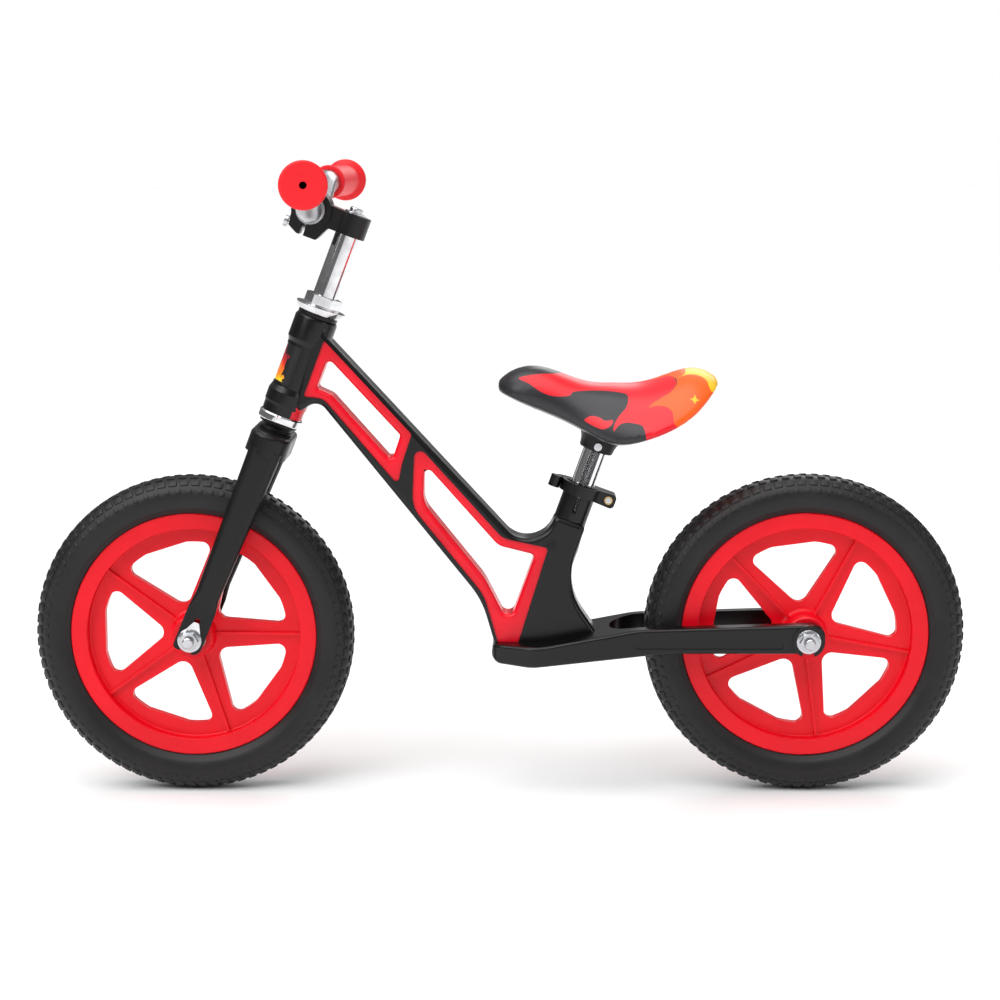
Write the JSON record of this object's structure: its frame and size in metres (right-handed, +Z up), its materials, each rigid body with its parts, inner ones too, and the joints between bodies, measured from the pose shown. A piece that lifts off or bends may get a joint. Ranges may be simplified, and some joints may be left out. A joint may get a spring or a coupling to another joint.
{
  "type": "balance bike",
  "caption": "Child's balance bike: cast frame with windows, rigid fork, spoked moulded wheels, quill stem and bar, quick-release saddle.",
  "frame": {"origin": "on the ground, midway between the two wheels and on the mid-plane", "axes": "+X from the front wheel towards the rear wheel, +Y across the bike to the rider's right, +Z up"},
  "size_m": [0.8426, 0.4148, 0.5703],
  "materials": {
    "frame_black": "satin black powder coat",
    "wheel_red": "moulded red, half gloss",
    "tyre_black": "moulded foam",
    "fork_black": "satin black paint",
    "chrome": "bright plate",
    "zinc": "zinc plate",
    "black_steel": "black oxide",
    "black_alloy": "black anodised",
    "brass": "plain turned",
    "grip_red": "soft matt",
    "saddle_cover": "printed synthetic cover",
    "black_plastic": "fine texture"
  },
  "bodies": {
    "frame": {"frame_casting": "frame_black", "frame_plug": "black_plastic", "upper_head_cup": "black_steel", "lower_head_cup": "chrome", "seat_clamp_collar": "black_alloy", "seat_clamp_nut": "brass", "seat_clamp_skewer": "zinc", "seat_clamp_pin": "zinc", "seat_clamp_cam_pad": "chrome", "rear_axle": "zinc", "rear_axle_nuts": "zinc", "rear_axle_spacers": "black_steel", "rear_hub_sleeve": "zinc", "rear_bearing_inner_races": "zinc"},
    "fork": {"steerer_tube": "black_steel", "fork_crown": "fork_black", "left_fork_leg": "fork_black", "right_fork_leg": "fork_black", "crown_race": "black_steel", "lower_head_balls": "chrome", "upper_head_balls": "chrome", "upper_cone": "zinc", "dust_cover": "chrome", "keyed_washer": "zinc", "head_lock_nut": "zinc", "front_axle": "zinc", "front_axle_nuts": "zinc", "front_tab_washers": "zinc", "front_axle_spacers": "black_steel", "front_hub_sleeve": "zinc", "front_bearing_inner_races": "zinc"},
    "front_wheel": {"front_wheel_rim": "wheel_red", "front_tyre": "tyre_black", "front_bearing_outer_races": "zinc", "front_bearing_balls": "chrome"},
    "rear_wheel": {"rear_wheel_rim": "wheel_red", "rear_tyre": "tyre_black", "rear_bearing_outer_races": "zinc", "rear_bearing_balls": "chrome"},
    "stem": {"stem_head": "black_alloy", "quill_tube": "chrome", "expander_wedge": "zinc", "expander_bolt": "zinc", "expander_washer": "zinc", "bar_clamp_bolt": "zinc"},
    "bar": {"handlebar": "fork_black", "left_grip": "grip_red", "right_grip": "grip_red"},
    "seat": {"seat_post": "chrome", "saddle_base": "black_plastic", "saddle_pad": "saddle_cover", "saddle_screw": "zinc"},
    "lever": {"seat_clamp_lever": "black_alloy"}
  },
  "joints": [
    {"name": "steering", "type": "hinge", "parent": "frame", "child": "fork", "pos_m": [-0.19996, 0, 0.32992], "axis": [0.3584, 0, 0.9336], "range_deg": [-90, 90]},
    {"name": "front_wheel_spin", "type": "hinge", "parent": "fork", "child": "front_wheel", "pos_m": [-0.2763, 0, 0.145], "axis": [0, 1, 0], "continuous": true},
    {"name": "rear_wheel_spin", "type": "hinge", "parent": "frame", "child": "rear_wheel", "pos_m": [0.2763, 0, 0.145], "axis": [0, 1, 0], "continuous": true},
    {"name": "stem_height", "type": "slide", "parent": "fork", "child": "stem", "axis": [0.3584, 0, 0.9336], "range_m": [-0.045, 0.02]},
    {"name": "bar_tilt", "type": "hinge", "parent": "stem", "child": "bar", "pos_m": [-0.16344, 0, 0.52692], "axis": [0, 1, 0], "range_deg": [-30, 30]},
    {"name": "seat_height", "type": "slide", "parent": "frame", "child": "seat", "axis": [0.342, 0, 0.9397], "range_m": [-0.025, 0.05]},
    {"name": "clamp_lever", "type": "hinge", "parent": "frame", "child": "lever", "pos_m": [0.09888, 0.021, 0.26697], "axis": [0.342, 0, 0.9397], "range_deg": [-110, 0]}
  ]
}
